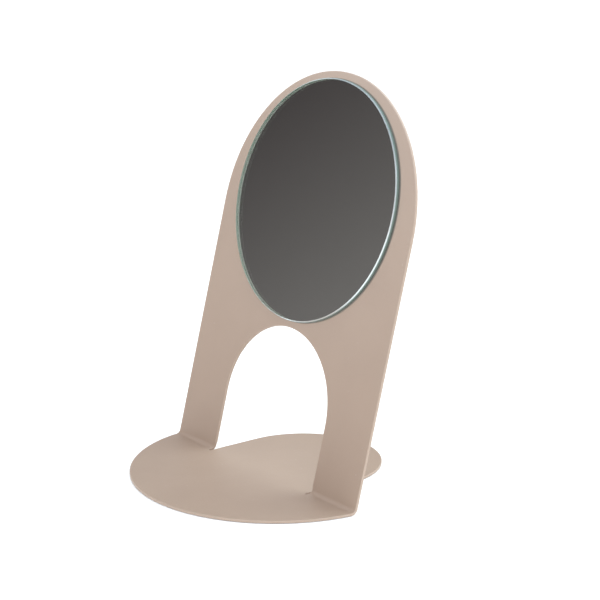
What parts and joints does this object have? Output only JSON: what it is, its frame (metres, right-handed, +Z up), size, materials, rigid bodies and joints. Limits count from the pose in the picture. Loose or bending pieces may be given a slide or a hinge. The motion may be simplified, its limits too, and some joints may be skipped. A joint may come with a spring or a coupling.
{
  "type": "table mirror",
  "caption": "Round mirror on a folded sheet stand: round base, leaning arched panel with a window, and a flat rear tongue as a prop.",
  "frame": {"origin": "centre of the footprint, on the table plane under the pads", "axes": "+Z up, -Y towards the user, who looks at the front of the mirror, +X to the user's right"},
  "size_m": [0.19, 0.1693, 0.2546],
  "materials": {
    "coated_steel": "fine matt powder coat",
    "clear_glass": "polished float glass, ground rims",
    "silver": "mirror",
    "backing_paint": "matt lacquer",
    "mounting_tape": "white double-sided tape",
    "pad_rubber": "matt"
  },
  "bodies": {
    "root": {"stand": "coated_steel", "mirror_glass": "clear_glass", "mirror_silver": "silver", "mirror_backing": "backing_paint", "tape_strip_1": "mounting_tape", "tape_strip_2": "mounting_tape", "tape_strip_3": "mounting_tape", "tape_strip_4": "mounting_tape", "pad_front": "pad_rubber", "pad_left": "pad_rubber", "pad_right": "pad_rubber", "pad_rear": "pad_rubber"}
  },
  "joints": []
}
